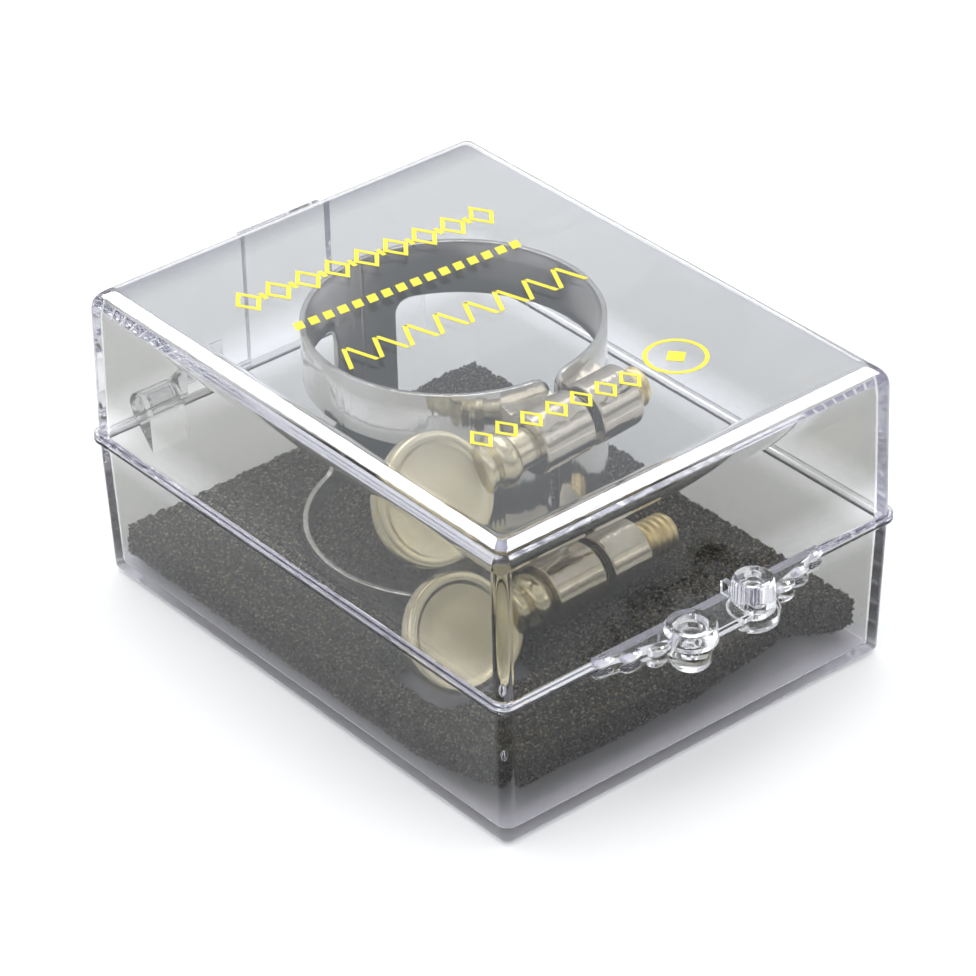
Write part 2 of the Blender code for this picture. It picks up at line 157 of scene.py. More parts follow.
BAND_LOW, BAND_HIGH = box_mm("ligature_band")
BAND_X = (BAND_LOW.x + BAND_HIGH.x) / 2
BAND_R = (BAND_HIGH.x - BAND_LOW.x) / 2
BAND_Y = BAND_HIGH.y - BAND_R
FOAM_LOW, FOAM_HIGH = box_mm("foam_pad")
BASE_LOW, BASE_HIGH = box_mm("case_base")
LID_LOW, LID_HIGH = box_mm("case_lid")
CASE_HALF_X = BASE_HIGH.x - RIM_OUT
CASE_HEIGHT = LID_HIGH.z
HINGE = Vector(JOINTS["lid_hinge"]["pos_m"]) / MM
HINGE_Y = HINGE.y
SEAM_Z = HINGE.z
POST_Y = JOINTS["lower_screw_turn"]["pos_m"][1] / MM


# ---------------------------------------------------------------- meshes

def new_object(name, verts, faces, doubles=1e-7):
    """Make an object from millimetre points."""
    mesh = bpy.data.meshes.new(name)
    mesh.from_pydata([Vector(v) * MM for v in verts], [], faces)
    bm = bmesh.new()
    bm.from_mesh(mesh)
    bmesh.ops.remove_doubles(bm, verts=bm.verts, dist=doubles)
    bmesh.ops.recalc_face_normals(bm, faces=bm.faces)
    bm.to_mesh(mesh)
    bm.free()
    obj = bpy.data.objects.new(name, mesh)
    bpy.context.collection.objects.link(obj)
    return obj


def apply_modifiers(obj):
    """Bake an object's modifiers into its mesh."""
    bpy.context.view_layer.update()
    graph = bpy.context.evaluated_depsgraph_get()
    mesh = bpy.data.meshes.new_from_object(obj.evaluated_get(graph))
    obj.modifiers.clear()
    old = obj.data
    obj.data = mesh
    mesh.name = obj.name
    bpy.data.meshes.remove(old)


def combine(target, shape, operation="UNION", line=None):
    """Boolean a (points, faces) shape into an object, laid on a screw's line if one is given."""
    tool = new_object("tool", *shape)
    if line:
        to_line(tool, line)
    mod = target.modifiers.new("join", "BOOLEAN")
    mod.operation = operation
    mod.solver = "EXACT"
    mod.object = tool
    apply_modifiers(target)
    bpy.data.objects.remove(tool, do_unlink=True)


def bevel(obj, width, segments, angle):
    """Round the edges that are sharper than an angle."""
    mod = obj.modifiers.new("bevel", "BEVEL")
    mod.width = width * MM
    mod.segments = segments
    mod.limit_method = "ANGLE"
    mod.angle_limit = math.radians(angle)
    apply_modifiers(obj)


def shade(obj, angle=35.0):
    """Smooth the shallow edges and leave the rest sharp."""
    bm = bmesh.new()
    bm.from_mesh(obj.data)
    for face in bm.faces:
        face.smooth = True
    for edge in bm.edges:
        edge.smooth = len(edge.link_faces) == 2 and edge.calc_face_angle() < math.radians(angle)
    bm.to_mesh(obj.data)
    bm.free()


def weigh_normals(obj):
    """Let the large flat faces rule the shading, so that small lumps don't warp a clear wall."""
    mod = obj.modifiers.new("weigh", "WEIGHTED_NORMAL")
    mod.mode = "FACE_AREA"
    mod.weight = 100
    mod.keep_sharp = True
    apply_modifiers(obj)


def dress(obj, mat, body, nodes=(), angle=35.0):
    """Finish a piece: its shading, material, body and the CAD nodes it stands for."""
    shade(obj, angle)
    obj.data.materials.clear()
    obj.data.materials.append(mat)
    if body:
        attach(obj, body)
    if nodes:
        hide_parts(*nodes)
    return obj


def loft(loops, ring=False):
    """Skin equal loops of points: capped at both ends, or joined end to end as a ring."""
    count = len(loops[0])
    verts = [p for loop in loops for p in loop]
    faces = []
    last = len(loops) - 1
    for k in range(len(loops) if ring else last):
        low, high = k * count, (k + 1) % len(loops) * count
        for i in range(count):
            j = (i + 1) % count
            faces.append((low + i, low + j, high + j, high + i))
    if not ring:
        faces.append(tuple(range(count)))
        faces.append(tuple(range(last * count, last * count + count)))
    return verts, faces


def circle_x(x, r, centre=(0.0, 0.0), steps=64):
    """Points round a circle that faces along X."""
    angles = [2.0 * math.pi * i / steps for i in range(steps)]
    return [(x, centre[0] + r * math.cos(a), centre[1] + r * math.sin(a)) for a in angles]


def turned(profile, centre=(0.0, 0.0), steps=64):
    """Revolve (x, radius) points about a line along X."""
    return loft([circle_x(x, r, centre, steps) for x, r in profile])


def upright(profile, x, y, steps=96):
    """Revolve (z, radius) points about a vertical line."""
    angles = [2.0 * math.pi * i / steps for i in range(steps)]
    return loft([[(x + r * math.cos(a), y + r * math.sin(a), z) for a in angles] for z, r in profile])


def prism(points, z0, z1):
    """Extrude an (x, y) outline along Z."""
    return loft([[(x, y, z0) for x, y in points], [(x, y, z1) for x, y in points]])


def side_prism(points, x0, x1):
    """Extrude a (y, z) outline along X."""
    return loft([[(x0, y, z) for y, z in points], [(x1, y, z) for y, z in points]])


def pebble(x, y, z, size, steps=12):
    """A small rounded lump: an ellipsoid as (points, faces)."""
    loops = []
    for k in range(1, steps // 2):
        t = math.pi * k / (steps // 2)
        ring = []
        for i in range(steps):
            a = 2.0 * math.pi * i / steps
            ring.append((
                x + size[0] * math.sin(t) * math.cos(a),
                y + size[1] * math.sin(t) * math.sin(a),
                z + size[2] * math.cos(t),
            ))
        loops.append(ring)
    return loft(loops)


# ---------------------------------------------------------------- materials

class Nodes:
    """A few shortcuts for building a node material."""

    def __init__(self, name):
        self.mat = bpy.data.materials.new(name)
        self.mat.use_nodes = True
        self.tree = self.mat.node_tree
        self.shader = self.tree.nodes["Principled BSDF"]
        self.out = self.tree.nodes["Material Output"]
        self.place = self.add("ShaderNodeTexCoord").outputs["Object"]

    def add(self, kind, **settings):
        node = self.tree.nodes.new(kind)
        for key, value in settings.items():
            setattr(node, key, value)
        return node

    def link(self, a, b):
        self.tree.links.new(a, b)

    def scaled(self, scale):
        """Object coordinates stretched by a vector."""
        mapping = self.add("ShaderNodeMapping")
        mapping.inputs["Scale"].default_value = scale
        self.link(self.place, mapping.inputs["Vector"])
        return mapping.outputs["Vector"]

    def noise(self, scale, detail=3.0, roughness=0.5, vector=None):
        node = self.add("ShaderNodeTexNoise")
        node.inputs["Scale"].default_value = scale
        node.inputs["Detail"].default_value = detail
        node.inputs["Roughness"].default_value = roughness
        self.link(vector or self.place, node.inputs["Vector"])
        return node.outputs["Fac"]

    def cells(self, scale):
        node = self.add("ShaderNodeTexVoronoi")
        node.inputs["Scale"].default_value = scale
        self.link(self.place, node.inputs["Vector"])
        return node.outputs["Distance"]

    def ramp(self, value, *stops):
        """Colours along a value; each stop is (value, colour)."""
        node = self.add("ShaderNodeValToRGB")
        elements = node.color_ramp.elements
        while len(elements) < len(stops):
            elements.new(0.5)
        for element, (at, colour) in zip(elements, stops):
            element.position = at
            element.color = (*colour, 1.0)
        self.link(value, node.inputs["Fac"])
        return node.outputs["Color"]

    def spread(self, value, low, high):
        """Carry a 0 to 1 value to the range low to high."""
        node = self.add("ShaderNodeMapRange")
        node.inputs["To Min"].default_value = low
        node.inputs["To Max"].default_value = high
        self.link(value, node.inputs["Value"])
        return node.outputs["Result"]

    def mix(self, factor, a, b):
        node = self.add("ShaderNodeMix", data_type="RGBA")
        if isinstance(factor, float):
            node.inputs["Factor"].default_value = factor
        else:
            self.link(factor, node.inputs["Factor"])
        for socket, value in ((node.inputs["A"], a), (node.inputs["B"], b)):
            if isinstance(value, tuple):
                socket.default_value = (*value, 1.0)
            else:
                self.link(value, socket)
        return node.outputs["Result"]

    def bump(self, height, strength, distance, under=None):
        node = self.add("ShaderNodeBump")
        node.inputs["Strength"].default_value = strength
        node.inputs["Distance"].default_value = distance * MM
        self.link(height, node.inputs["Height"])
        if under:
            self.link(under, node.inputs["Normal"])
        return node.outputs["Normal"]

    def set(self, **values):
        """Link or set the main shader's sockets."""
        for key, value in values.items():
            socket = self.shader.inputs[key.replace("_", " ")]
            if hasattr(value, "is_linked"):
                self.link(value, socket)
            elif isinstance(value, tuple):
                socket.default_value = (*value, 1.0)
            else:
                socket.default_value = value


def clear_plastic():
    """Polished clear polystyrene with fine scuffs, its colour painted shade and light: darkened walls, a
    clearer top, seam and bottom, and a dimmed far rim.
    """
    n = Nodes("clear_plastic")
    ripple = n.noise(90.0, 2.0, 0.4, n.scaled((1.0, 1.0, 0.5)))
    scuff = n.noise(900.0, 4.0, 0.6, n.scaled((1.0, 0.25, 1.0)))
    parts = n.add("ShaderNodeSeparateXYZ")
    n.link(n.place, parts.inputs["Vector"])
    x, y, z = (parts.outputs[axis] for axis in "XYZ")
    # Painted shade and light by height: the walls darkened, the bottom, seam and top clearer.
    tint = n.ramp(
        z, (0.0010, BOTTOM_TINT), (0.0014, WALL_PAINTED_SHADE), (0.0132, WALL_PAINTED_SHADE), (0.0136, SEAM_TINT),
        (0.0156, SEAM_TINT), (0.0160, WALL_PAINTED_SHADE), (0.0280, WALL_PAINTED_SHADE), (0.0285, TOP_TINT),
    )
    # Painted shade: the lid's top edges on the far x and far y sides are dimmed.
    far_x = n.ramp(x, (0.0205, BLACK), (0.0209, WHITE))
    far_y = n.ramp(y, (0.0268, BLACK), (0.0272, WHITE))
    rim = n.ramp(z, (0.0284, BLACK), (0.0287, WHITE))
    far_edge_shade_mask = n.mix(rim, BLACK, n.mix(far_x, far_y, WHITE))
    tint = n.mix(far_edge_shade_mask, tint, FAR_EDGE_PAINTED_SHADE)
    scuffed = n.ramp(z, (0.0010, (0.72,) * 3), (0.0014, WHITE))
    n.set(
        Base_Color=tint, Transmission_Weight=scuffed, IOR=1.57, Specular_Tint=(0.25, 0.25, 0.255),
        Roughness=n.spread(scuff, 0.0, 0.035), Normal=n.bump(ripple, 0.25, 0.04),
    )
    path = n.add("ShaderNodeLightPath")
    through = n.add("ShaderNodeBsdfTransparent")
    through.inputs["Color"].default_value = (0.97, 0.97, 0.975, 1.0)
    both = n.add("ShaderNodeMixShader")
    n.link(path.outputs["Is Shadow Ray"], both.inputs["Fac"])
    n.link(n.shader.outputs["BSDF"], both.inputs[1])
    n.link(through.outputs["BSDF"], both.inputs[2])
    n.link(both.outputs["Shader"], n.out.inputs["Surface"])
    body = n.add("ShaderNodeVolumeAbsorption")
    body.inputs["Color"].default_value = (0.80, 0.795, 0.88, 1.0)
    body.inputs["Density"].default_value = 24.0
    n.link(body.outputs["Volume"], n.out.inputs["Volume"])
    return n.mat


def nickel(name, tint, dull, low_rough, high_rough, wavy):
    """Polished plate with faint polishing lines, water marks and a warmer cast in patches."""
    n = Nodes(name)
    patches = n.noise(160.0, 4.0, 0.55)
    lines = n.noise(2600.0, 2.0, 0.5, n.scaled((1.0, 1.0, 0.06)))
    spots = n.ramp(n.cells(420.0), (0.0, WHITE), (0.10, BLACK))
    colour = n.mix(n.ramp(patches, (0.35, BLACK), (0.72, WHITE)), tint, dull)
    colour = n.mix(0.12, colour, n.mix(spots, colour, tuple(c * 0.6 for c in dull)))
    waves = n.noise(380.0, 3.0, 0.6, n.scaled((1.0, 1.0, 0.04)))
    smooth = n.bump(lines, 0.04, 0.01, n.bump(waves, wavy, 0.25))
    n.set(
        Base_Color=colour, Metallic=1.0, Roughness=n.spread(patches, low_rough, high_rough),
        Normal=smooth,
    )
    return n.mat


def gap_shade():
    """Painted shade on the thread where it shows in the gap between the posts."""
    n = Nodes("gap_shade")
    stain = n.noise(900.0, 3.0, 0.6)
    n.set(
        Base_Color=n.ramp(stain, (0.3, (0.008, 0.007, 0.006)), (0.7, (0.035, 0.028, 0.020))),
        Roughness=0.45, Normal=n.bump(stain, 0.3, 0.03),
    )
    return n.mat


def brass_thread():
    """Bare rolled thread: brassy crests, oily dark roots."""
    n = Nodes("thread_brass")
    stain = n.noise(700.0, 4.0, 0.6)
    colour = n.ramp(stain, (0.3, (0.34, 0.26, 0.12)), (0.62, (0.78, 0.64, 0.34)))
    n.set(Base_Color=colour, Metallic=1.0, Roughness=0.32, Normal=n.bump(stain, 0.3, 0.03))
    return n.mat


def foam_material():
    """Open-cell charcoal foam: dark pores, lighter strut tips, and painted shade inside the ring."""
    n = Nodes("foam")
    struts = n.cells(3300.0)
    speckle = n.noise(3100.0, 1.0, 0.6)
    cloud = n.noise(160.0, 3.0, 0.5)
    flecks = n.ramp(speckle, (0.47, (0.004, 0.004, 0.003)), (0.62, (0.64, 0.56, 0.36)))
    tips = n.ramp(struts, (0.25, BLACK), (0.6, (0.85,) * 3))
    colour = n.mix(tips, flecks, (0.016, 0.014, 0.009))
    colour = n.mix(n.spread(cloud, 0.0, 0.25), colour, (0.07, 0.062, 0.045))
    # Painted shade: the foam darkens to near black within about 9 mm of a spot inside the ring, fading out
    # by 14 mm.
    ring_shade_distance = n.add("ShaderNodeVectorMath", operation="DISTANCE")
    n.link(n.place, ring_shade_distance.inputs[0])
    ring_shade_distance.inputs[1].default_value = (RING_SHADE_AT[0] * MM, RING_SHADE_AT[1] * MM, FOAM_HIGH.z * MM)
    shade_in = n.ramp(ring_shade_distance.outputs["Value"], (0.009, (0.90,) * 3), (0.014, BLACK))
    colour = n.mix(shade_in, colour, (0.006, 0.005, 0.004))
    n.set(
        Base_Color=colour, Roughness=0.95, Specular_IOR_Level=0.1, Normal=n.bump(struts, 0.9, 0.15),
    )
    return n.mat


def print_ink():
    """Screen-printed yellow ink, slightly uneven."""
    n = Nodes("yellow_ink")
    uneven = n.noise(900.0, 3.0, 0.6)
    n.set(
        Base_Color=n.ramp(uneven, (0.3, (0.80, 0.66, 0.03)), (0.7, (0.93, 0.80, 0.07))),
        Roughness=0.45, Normal=n.bump(uneven, 0.2, 0.01),
    )
    return n.mat


def floor_material():
    """Pale matt sweep."""
    n = Nodes("pale_floor")
    grain = n.noise(30.0, 3.0, 0.5)
    n.set(Base_Color=n.ramp(grain, (0.3, (0.935,) * 3), (0.7, (0.95,) * 3)), Roughness=0.8)
    return n.mat


# ---------------------------------------------------------------- case

def half_at(z):
    """Outer half widths of the case at a height, with its moulding draft."""
    if z < SEAM_Z:
        inset = BASE_DRAFT * (SEAM_Z - z) / SEAM_Z
    else:
        inset = LID_DRAFT * (z - SEAM_Z) / (CASE_HEIGHT - SEAM_Z)
    return CASE_HALF_X - inset, CASE_HALF_Y - inset


def case_loop(z, inset=0.0, radius=None, steps=12):
    """Points round the case wall at a height, set in by inset."""
    half_x, half_y = half_at(z)
    if radius is None:
        radius = max(CASE_CORNER_R - inset, 0.7)
    points = []
    for sx, sy, start in ((1, 1, 0), (-1, 1, 90), (-1, -1, 180), (1, -1, 270)):
        cx = sx * (half_x - inset - radius)
        cy = sy * (half_y - inset - radius)
        for i in range(steps + 1):
            a = math.radians(start + 90.0 * i / steps)
            points.append((cx + radius * math.cos(a), cy + radius * math.sin(a), z))
    return points


def round_over(edge_z, sign, radius, steps):
    """Loops of the case's outer rounded edge, from its flat out to the wall."""
    loops = []
    for k in range(steps + 1):
        a = math.radians(90.0 - 90.0 * k / steps)
        z = edge_z + sign * radius * (1.0 - math.sin(a))
        loops.append(case_loop(z, radius * (1.0 - math.cos(a))))
    return loops


def case_tub(name, end_z, sign, seam_z, edge_r, floor):
    """One case half: outside from its closed end to the seam's rim, then back down inside."""
    rim = seam_z - sign * RIM_H
    soft = 0.12
    loops = round_over(end_z, sign, edge_r, 10)
    for z, inset in (
        (rim - sign * soft, 0.0), (rim, -soft), (rim, -RIM_OUT + soft), (rim + sign * soft, -RIM_OUT),
        (seam_z - sign * soft, -RIM_OUT), (seam_z, -RIM_OUT + soft),
    ):
        loops.append(case_loop(z, inset))
    loops.append(case_loop(seam_z, CASE_WALL - soft, INNER_CORNER_R + soft))
    loops.append(case_loop(seam_z - sign * soft, CASE_WALL, INNER_CORNER_R))
    flat = end_z + sign * floor
    for k in range(4):
        a = math.radians(30.0 * k)
        inset = INNER_EDGE_R * (1.0 - math.cos(a))
        z = flat + sign * INNER_EDGE_R * (1.0 - math.sin(a))
        loops.append(case_loop(z, CASE_WALL + inset, INNER_CORNER_R - inset))
    return new_object(name, *loft(loops))


def gusset_outline():
    """Outline of the flat web that joins both studs to the wall."""
    wall = -CASE_HALF_Y + 0.4
    return (
        (-12.7, wall), (13.1, wall), (12.9, wall - 0.9), (6.2, CLASP_Y + 0.2),
        (4.6, CLASP_Y - 1.5), (-4.6, CLASP_Y - 1.5), (-6.2, CLASP_Y + 0.2), (-12.5, wall - 0.9),
    )


def add_clasp_webs(target, z0, z1):
    """Flat webs from the wall out to the studs, their sloping edges scalloped."""
    combine(target, prism(gusset_outline(), z0, z1))
    middle = (z0 + z1) / 2
    for side, start, end in ((-1, -11.7, -7.2), (1, 7.2, 12.1)):
        for i in range(3):
            t = i / 2
            x = start + (end - start) * t
            depth = t if side < 0 else 1.0 - t
            y = -CASE_HALF_Y - 0.45 + (CLASP_Y + CASE_HALF_Y + 0.5) * depth
            combine(target, pebble(x, y, middle, (1.15, 0.7, (z1 - z0) * 0.56), 20))


def add_fins(target, x, z0, z1):
    """Two small upright ribs that hold a stud to the wall."""
    wall = -CASE_HALF_Y + 0.6
    for side in (-1, 1):
        x0 = x + side * 1.35 - 0.3
        outline = ((wall, z0), (CLASP_Y, z0), (CLASP_Y, z1), (wall, z1))
        combine(target, side_prism(outline, x0, x0 + 0.6))


def add_hinge_arm(target, x0, x1, up):
    """Tapered rib that carries a hinge knuckle on the case's back wall."""
    wall = CASE_HALF_Y - 0.6
    outline = (
        (wall, SEAM_Z + up * 0.1), (HINGE_Y, SEAM_Z + up * 0.1),
        (HINGE_Y + 0.9, SEAM_Z + up * 0.85), (wall, SEAM_Z + up * 4.6),
    )
    combine(target, side_prism(outline, x0, x1))
    soft = 0.15
    knuckle = (
        (x0, KNUCKLE_R - soft), (x0 + soft, KNUCKLE_R), (x1 - soft, KNUCKLE_R), (x1, KNUCKLE_R - soft),
    )
    combine(target, turned(knuckle, (HINGE_Y, SEAM_Z), 40))


def make_base(mat):
    """Lower half: tub, stud with a peg, socket with a bore, and two bored hinge knuckles."""
    seam = SEAM_Z - SEAM_GAP / 2
    base = case_tub("base_shell", 0.0, 1, seam, BASE_EDGE_R, CASE_FLOOR)
    add_clasp_webs(base, seam - GUSSET_T, seam)
    low = BASE_STUD_LOW_Z
    stud = (
        (low, STUD_R - 0.7), (low + 0.12, STUD_R - 0.45), (low + 0.4, STUD_R - 0.25),
        (seam - 0.8, STUD_R - 0.1), (seam, STUD_R),
    )
    peg = (
        (seam - 1.0, PEG_R), (SEAM_Z + 0.7, PEG_R), (SEAM_Z + 0.9, PEG_R - 0.1), (SEAM_Z + 1.0, PEG_R - 0.3),
    )
    low = BASE_SOCKET_LOW_Z
    socket = (
        (low, SOCKET_R - 0.5), (low + 0.1, SOCKET_R - 0.25), (low + 0.3, SOCKET_R - 0.1), (seam, SOCKET_R),
    )
    bore = ((SEAM_Z - 0.9, SOCKET_BORE_R), (SEAM_Z + 1.0, SOCKET_BORE_R))
    combine(base, upright(stud, -CLASP_X, CLASP_Y))
    combine(base, upright(peg, -CLASP_X, CLASP_Y))
    combine(base, upright(socket, CLASP_X, CLASP_Y))
    combine(base, upright(bore, CLASP_X, CLASP_Y), "DIFFERENCE")
    add_fins(base, -CLASP_X, BASE_STUD_LOW_Z + 0.5, seam - 0.3)
    for side in (-1, 1):
        x0, x1 = sorted((side * BASE_KNUCKLE_X[0], side * BASE_KNUCKLE_X[1]))
        add_hinge_arm(base, x0, x1, -1)
        start, end = (x0 - 1.0, x1 - 0.8) if side > 0 else (x0 + 0.8, x1 + 1.0)
        bore = ((start, HINGE_BORE_R), (end, HINGE_BORE_R))
        combine(base, turned(bore, (HINGE_Y, SEAM_Z), 32), "DIFFERENCE")
    add_corner_mark(base, 9.9)
    dress(base, mat, ROOT, ["case_base"])
    weigh_normals(base)


def add_corner_mark(target, z):
    """Small oval witness mark of the mould on the front corner."""
    half_x, half_y = half_at(z)
    reach = CASE_CORNER_R * (1.0 - math.sqrt(0.5)) + 0.02
    combine(target, pebble(-half_x + reach, -half_y + reach, z, (0.34, 0.34, 0.62)))


def make_lid(mat):
    """Upper half: tub, dimpled stud with a peg, socket with a bore, back panel and hinge arms with pins."""
    seam = SEAM_Z + SEAM_GAP / 2
    lid = case_tub("lid_shell", CASE_HEIGHT, -1, seam, LID_EDGE_R, CASE_WALL)
    add_clasp_webs(lid, seam, seam + GUSSET_T)
    high = LID_STUD_HIGH_Z
    stud = (
        (seam, STUD_R), (high - 0.5, STUD_R - 0.15), (high - 0.15, STUD_R - 0.3), (high, STUD_R - 0.6),
    )
    dimple = ((high - 0.5, 0.55), (high - 0.1, 0.75), (high + 0.5, 1.0))
    peg = ((SEAM_Z - 0.7, PEG_R - 0.25), (SEAM_Z - 0.5, PEG_R), (seam + 1.0, PEG_R))
    high = LID_SOCKET_HIGH_Z
    socket = (
        (seam, SOCKET_R), (high - 0.35, SOCKET_R - 0.1), (high - 0.12, SOCKET_R - 0.25),
        (high, SOCKET_R - 0.55),
    )
    bore = ((SEAM_Z - 1.0, SOCKET_BORE_R), (SEAM_Z + 1.2, SOCKET_BORE_R))
    combine(lid, upright(stud, CLASP_X, CLASP_Y))
    combine(lid, upright(dimple, CLASP_X, CLASP_Y), "DIFFERENCE")
    combine(lid, upright(peg, CLASP_X, CLASP_Y))
    combine(lid, upright(socket, -CLASP_X, CLASP_Y))
    combine(lid, upright(bore, -CLASP_X, CLASP_Y), "DIFFERENCE")
    add_fins(lid, CLASP_X, seam + 0.3, LID_STUD_HIGH_Z - 0.9)
    half, back = PANEL_HALF_X, CASE_HALF_Y
    panel = (
        (-half - 0.5, back - 0.9), (half + 0.5, back - 0.9), (half, back + PANEL_OUT),
        (-half, back + PANEL_OUT),
    )
    combine(lid, prism(panel, seam, CASE_HEIGHT - 1.5))
    for side in (-1, 1):
        x0, x1 = sorted((side * LID_KNUCKLE_X[0], side * LID_KNUCKLE_X[1]))
        add_hinge_arm(lid, x0, x1, 1)
        start, end = (x1 - 1.0, x1 + 3.2) if side > 0 else (x0 - 3.2, x0 + 1.0)
        pin = ((start, HINGE_PIN_R), (end, HINGE_PIN_R))
        combine(lid, turned(pin, (HINGE_Y, SEAM_Z), 32))
    add_corner_mark(lid, 16.6)
    dress(lid, mat, LID, ["case_lid"])
    weigh_normals(lid)


# ---------------------------------------------------------------- print on the lid

PRINT_TURN = -4.2
PRINT_Z = 0.006
PRINT_T = 0.03


def flat_marks(name, outlines, mat):
    """Thin printed shapes, each a closed (x, y) outline, on the lid's top."""
    verts, faces = [], []
    turn = Matrix.Rotation(math.radians(PRINT_TURN), 2)
    z0 = CASE_HEIGHT + PRINT_Z
    for outline in outlines:
        v, f = prism([tuple(turn @ Vector(p)) for p in outline], z0, z0 + PRINT_T)
        first = len(verts)
        verts += v
        faces += [tuple(first + i for i in face) for face in f]
    dress(new_object(name, verts, faces), mat, LID)


def bar(x, y, width, height, lean=0.0):
    """A printed dash, upright or leaning."""
    return ((x, y), (x + width, y), (x + width + lean, y + height), (x + lean, y + height))


def ring_strip(x, y, outer, inner, steps=40):
    """A printed ring, or a lozenge in 4 steps, as quads, so that every outline stays simple."""
    def point(i, half):
        a = 2 * math.pi * i / steps
        return x + half[0] * math.cos(a), y + half[1] * math.sin(a)
    return [
        (point(i, outer), point(i + 1, outer), point(i + 1, inner), point(i, inner)) for i in range(steps)
    ]


def make_print(mat):
    """Four rows of plain ornament and a ring: stand-ins for the case's printing."""
    row = []
    for i in range(9):
        x = -15.3 + i * 3.15
        row += ring_strip(x + 1.3, 15.9, (1.35, 2.0), (0.85, 1.3), 4)
        if i < 8:
            row.append(bar(x + 2.65, 15.3, 0.45, 1.2))
    flat_marks("print_row_1", row, mat)
    row = [bar(-13.4 + i * 1.55, 9.1, 0.95, 1.2, 0.35) for i in range(16)]
    flat_marks("print_row_2", row, mat)
    row = []
    for i in range(8):
        x = -13.4 + i * 3.2
        row.append(((x, 0.9), (x + 0.45, 0.9), (x + 1.75, 4.1), (x + 1.3, 4.1)))
        row.append(((x + 1.5, 4.1), (x + 1.95, 4.1), (x + 3.15, 0.9), (x + 2.7, 0.9)))
    flat_marks("print_row_3", row, mat)
    row = []
    for i in range(7):
        row += ring_strip(-10.9 + i * 2.6, -15.0, (1.15, 1.6), (0.72, 1.05), 4)
    row += ring_strip(10.1, -14.4, (2.9, 2.9), (2.5, 2.5))
    row.append(((9.0, -14.4), (10.1, -15.5), (11.2, -14.4), (10.1, -13.3)))
    flat_marks("print_row_4", row, mat)


# ---------------------------------------------------------------- foam

def make_foam(mat):
    """Open-cell slab with the seat cut for the ring, posts and lower paddle; its skin is granular."""
    low, high = FOAM_LOW.z, FOAM_HIGH.z
    outline = [Vector(p) for p in FOAM_OUTLINE]
    middle = (FOAM_LOW + FOAM_HIGH) / 2
    foot = []
    for p in outline:
        inward = (math.copysign(FOAM_UNDERCUT, p.x - middle.x), math.copysign(FOAM_UNDERCUT, p.y - middle.y))
        foot.append(p - Vector(inward))
    pad = new_object("foam", *loft([
        [(p.x, p.y, low) for p in foot], [(p.x, p.y, low + FOAM_UNDERCUT) for p in outline],
        [(p.x, p.y, high) for p in outline],
    ]))
    lower = screw_line("lower_screw_turn")
    bed = ((lower["x"] - 8.3, POST_R + 0.45), (lower["x"] + 6.6, POST_R + 0.45))
    combine(pad, turned(bed, (POST_Y, lower["z"])), "DIFFERENCE")
    paddle_low, paddle_high = box_mm("lower_paddle")
    sweep = math.sqrt((PADDLE_R + 0.6) ** 2 - (lower["z"] - high) ** 2)
    x0, x1 = paddle_low.x - 0.5, paddle_high.x + 0.5
    slot = (
        (x0, POST_Y - sweep), (x1, POST_Y - sweep), (x1, POST_Y + sweep), (x0, POST_Y + sweep),
    )
    combine(pad, prism(slot, low - 1.0, high + 3.0), "DIFFERENCE")
    groove = ring_solid(BAND_R - BAND_T - 0.5, BAND_R + 0.5, low + 0.5, high + 1.0)
    combine(pad, groove, "DIFFERENCE")
    remesh = pad.modifiers.new("remesh", "REMESH")
    remesh.mode = "VOXEL"
    remesh.voxel_size = FOAM_VOXEL * MM
    apply_modifiers(pad)
    roughen(pad)
    dress(pad, mat, ROOT, ["foam_pad"], 12.0)


def ring_solid(inner, outer, z0, z1, steps=96):
    """A square-edged ring round the band's axis."""
    loops = []
    for i in range(steps):
        a = 2.0 * math.pi * i / steps
        loops.append([(BAND_X + r * math.cos(a), BAND_Y + r * math.sin(a), z)
                      for r, z in ((inner, z0), (outer, z0), (outer, z1), (inner, z1))])
    return loft(loops, ring=True)


def roughen(pad):
    """Push each point of the skin by layered noise, keeping it above the floor."""
    rng = random.Random(5)
    mesh = pad.data
    normals = [Vector(v.normal) for v in mesh.vertices]
    floor = (FOAM_LOW.z + 0.02) * MM
    for vert, normal in zip(mesh.vertices, normals):
        place = vert.co / MM
        swell = 0.14 * noise.noise(place * 0.35)
        cell = 0.18 * noise.noise(place * 2.4) + 0.44 * (rng.random() - 0.6)
        vert.co += normal * (swell + cell - 0.05) * MM
        vert.co.z = max(vert.co.z, floor)


# ---------------------------------------------------------------- ligature

def screw_line(joint):
    """Pivot and slope of one screw, from its joint."""
    pos = JOINTS[joint]["pos_m"]
    axis = JOINTS[joint]["axis"]
    return {"x": pos[0] / MM, "y": pos[1] / MM, "z": pos[2] / MM, "slope": math.atan2(axis[2], axis[0])}


def to_line(obj, line):
    """Move an object made along X at the origin onto a screw's line."""
    turn = Matrix.Rotation(-line["slope"], 4, "Y")
    obj.data.transform(Matrix.Translation(Vector((line["x"], line["y"], line["z"])) * MM) @ turn)


def span_on(node, line, radius=0.0):
    """Where a node starts and ends along a screw's line, measured from its pivot."""
    low, high = box_mm(node)
    lean = radius * math.sin(abs(line["slope"]))
    cos = math.cos(line["slope"])
    return (low.x + lean - line["x"]) / cos, (high.x - lean - line["x"]) / cos


